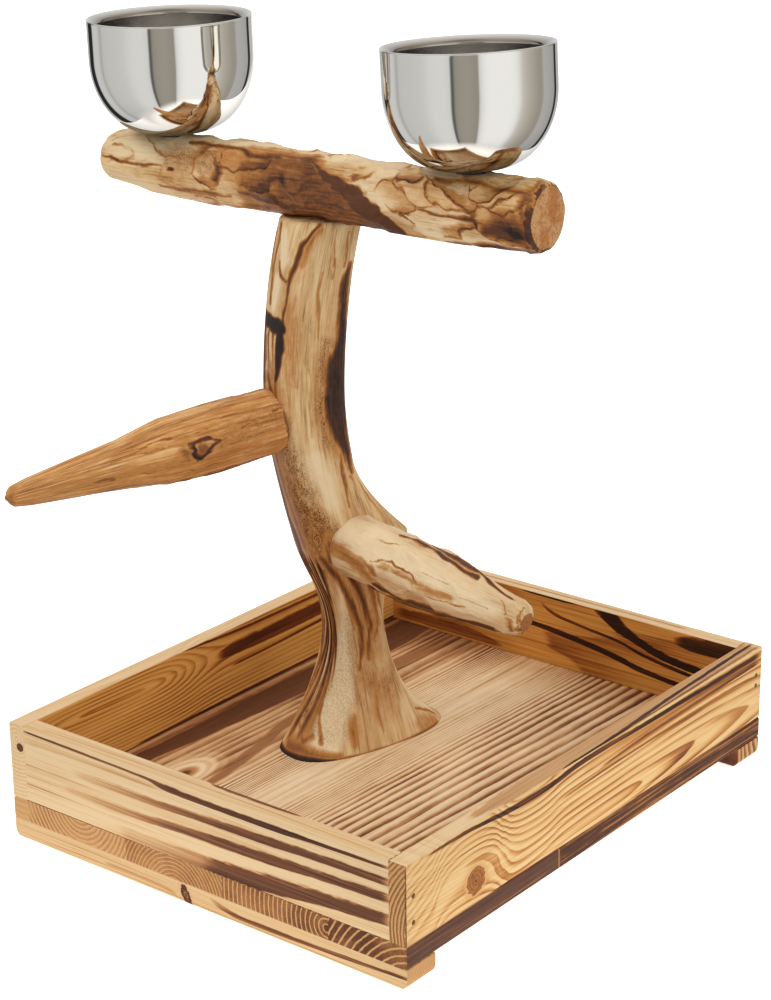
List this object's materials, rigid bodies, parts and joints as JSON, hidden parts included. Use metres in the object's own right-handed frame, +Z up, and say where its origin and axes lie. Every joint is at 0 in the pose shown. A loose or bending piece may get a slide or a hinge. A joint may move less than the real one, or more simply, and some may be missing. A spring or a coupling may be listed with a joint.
{
  "type": "bird perch stand",
  "caption": "Tabletop bird perch stand: wooden tray on low rails, curved trunk with a flared foot, whittled top perch, tapered branches and steel cups that unscrew.",
  "frame": {"origin": "middle of the whole outline's footprint, on the surface that the foot rails stand on", "axes": "+Z up, +X from the left side board to the right one (the top perch points that way to within 4 degrees), +Y from the front board to the rear board"},
  "size_m": [0.3614, 0.3686, 0.4754],
  "materials": {
    "board_pine": "pine boards scorched by flame and sealed satin",
    "panel_pine": "edge-glued pine staves scorched by flame and sealed satin",
    "rail_pine": "pine, lightly scorched, satin",
    "trunk_wood": "barked and sanded limb, scorched streaks, satin",
    "perch_wood": "whittled facets with scorched edges, satin",
    "left_branch_wood": "orange-brown whittled branch, satin",
    "right_branch_wood": "pale whittled branch with brown creases, satin",
    "polished_steel": "mirror-polished stainless sheet",
    "stud_steel": "plain thread",
    "zinc_steel": "zinc-plated nails and screws",
    "brass": "threaded insert",
    "washer_rubber": "matte"
  },
  "bodies": {
    "stand": {"floor_stave_1": "panel_pine", "floor_stave_2": "panel_pine", "floor_stave_3": "panel_pine", "floor_stave_4": "panel_pine", "floor_stave_5": "panel_pine", "left_side_board": "board_pine", "right_side_board": "board_pine", "front_board": "board_pine", "rear_board": "board_pine", "front_foot_rail": "rail_pine", "rear_foot_rail": "rail_pine", "corner_nails": "zinc_steel", "panel_nails": "zinc_steel", "foot_rail_screws": "zinc_steel", "trunk": "trunk_wood", "trunk_screws": "zinc_steel", "top_perch": "perch_wood", "perch_dowel_screw": "zinc_steel", "left_branch": "left_branch_wood", "left_branch_dowel_screw": "zinc_steel", "right_branch": "right_branch_wood", "right_branch_dowel_screw": "zinc_steel", "left_cup_insert": "brass", "right_cup_insert": "brass"},
    "left_washer": {"left_washer": "washer_rubber"},
    "left_cup": {"left_cup_shell": "polished_steel", "left_cup_liner": "polished_steel", "left_cup_stud": "stud_steel"},
    "right_washer": {"right_washer": "washer_rubber"},
    "right_cup": {"right_cup_shell": "polished_steel", "right_cup_liner": "polished_steel", "right_cup_stud": "stud_steel"}
  },
  "joints": [
    {"name": "left_cup_rise", "type": "slide", "parent": "stand", "child": "left_washer", "axis": [-0.0354, 0.0063, 0.9994], "range_m": [0, 0.012]},
    {"name": "left_cup_turn", "type": "hinge", "parent": "left_washer", "child": "left_cup", "pos_m": [-0.12869, -0.00798, 0.40088], "axis": [-0.0354, 0.0063, 0.9994], "range_deg": [0, 4320]},
    {"name": "right_cup_rise", "type": "slide", "parent": "stand", "child": "right_washer", "axis": [-0.072, 0.03, 0.997], "range_m": [0, 0.012]},
    {"name": "right_cup_turn", "type": "hinge", "parent": "right_washer", "child": "right_cup", "pos_m": [0.0837, 0.00694, 0.40271], "axis": [-0.072, 0.03, 0.997], "range_deg": [0, 4320]}
  ],
  "couplings": [
    {"joint": "left_cup_rise", "follows": "left_cup_turn", "m_per_rad": 0.00015915},
    {"joint": "right_cup_rise", "follows": "right_cup_turn", "m_per_rad": 0.00015915}
  ]
}
